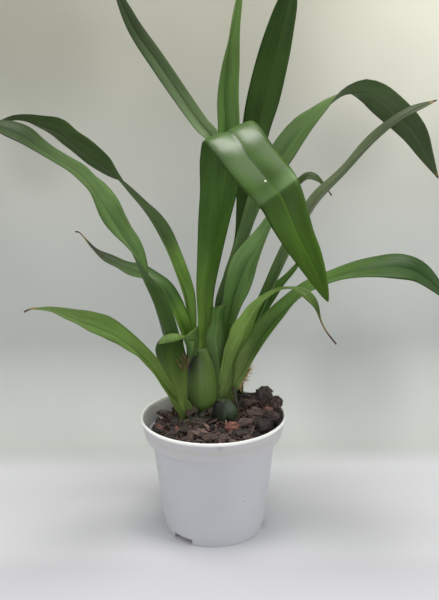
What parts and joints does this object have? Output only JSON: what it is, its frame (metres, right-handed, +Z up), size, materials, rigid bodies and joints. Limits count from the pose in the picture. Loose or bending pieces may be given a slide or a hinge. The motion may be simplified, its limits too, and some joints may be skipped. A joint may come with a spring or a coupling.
{
  "type": "potted orchid",
  "caption": "Potted oncidium orchid without flowers: long strap leaves and plump pseudobulbs in coarse bark, in a plain white nursery pot.",
  "frame": {"origin": "centre of the pot's foot, on the surface that the pot stands on", "axes": "+Z up along the pot's axis; -Y towards the viewer of the picture; +X to the picture's right"},
  "size_m": [0.3869, 0.2066, 0.4543],
  "materials": {
    "pot": "satin white",
    "bark": "rough dark bark",
    "pseudobulb": "smooth green",
    "old_pseudobulb": "smooth dark green",
    "sheath": "smooth bluish green",
    "dry_husk": "dry brown",
    "root": "matte grey-green",
    "leaf": "satin green",
    "leaf_dark": "satin dark green",
    "leaf_lime": "satin yellow-green"
  },
  "bodies": {
    "root": {"pot": "pot", "bark_bed": "bark", "main_pseudobulb": "pseudobulb", "old_pseudobulb": "old_pseudobulb", "sheath_left": "sheath", "sheath_right": "sheath", "husk_left": "dry_husk", "husk_right": "dry_husk", "aerial_root": "root", "leaf_front_fold": "leaf", "leaf_left_back": "leaf_dark", "leaf_left_front": "leaf", "leaf_left_short": "leaf", "leaf_left_low": "leaf_lime", "leaf_centre": "leaf", "leaf_upright": "leaf_dark", "leaf_narrow_left": "leaf_dark", "leaf_right_arch": "leaf", "leaf_right_channel": "leaf_dark", "leaf_right_short": "leaf", "leaf_right_low": "leaf", "leaf_right_lime": "leaf_lime", "leaf_right_hidden": "leaf_dark"}
  },
  "joints": []
}
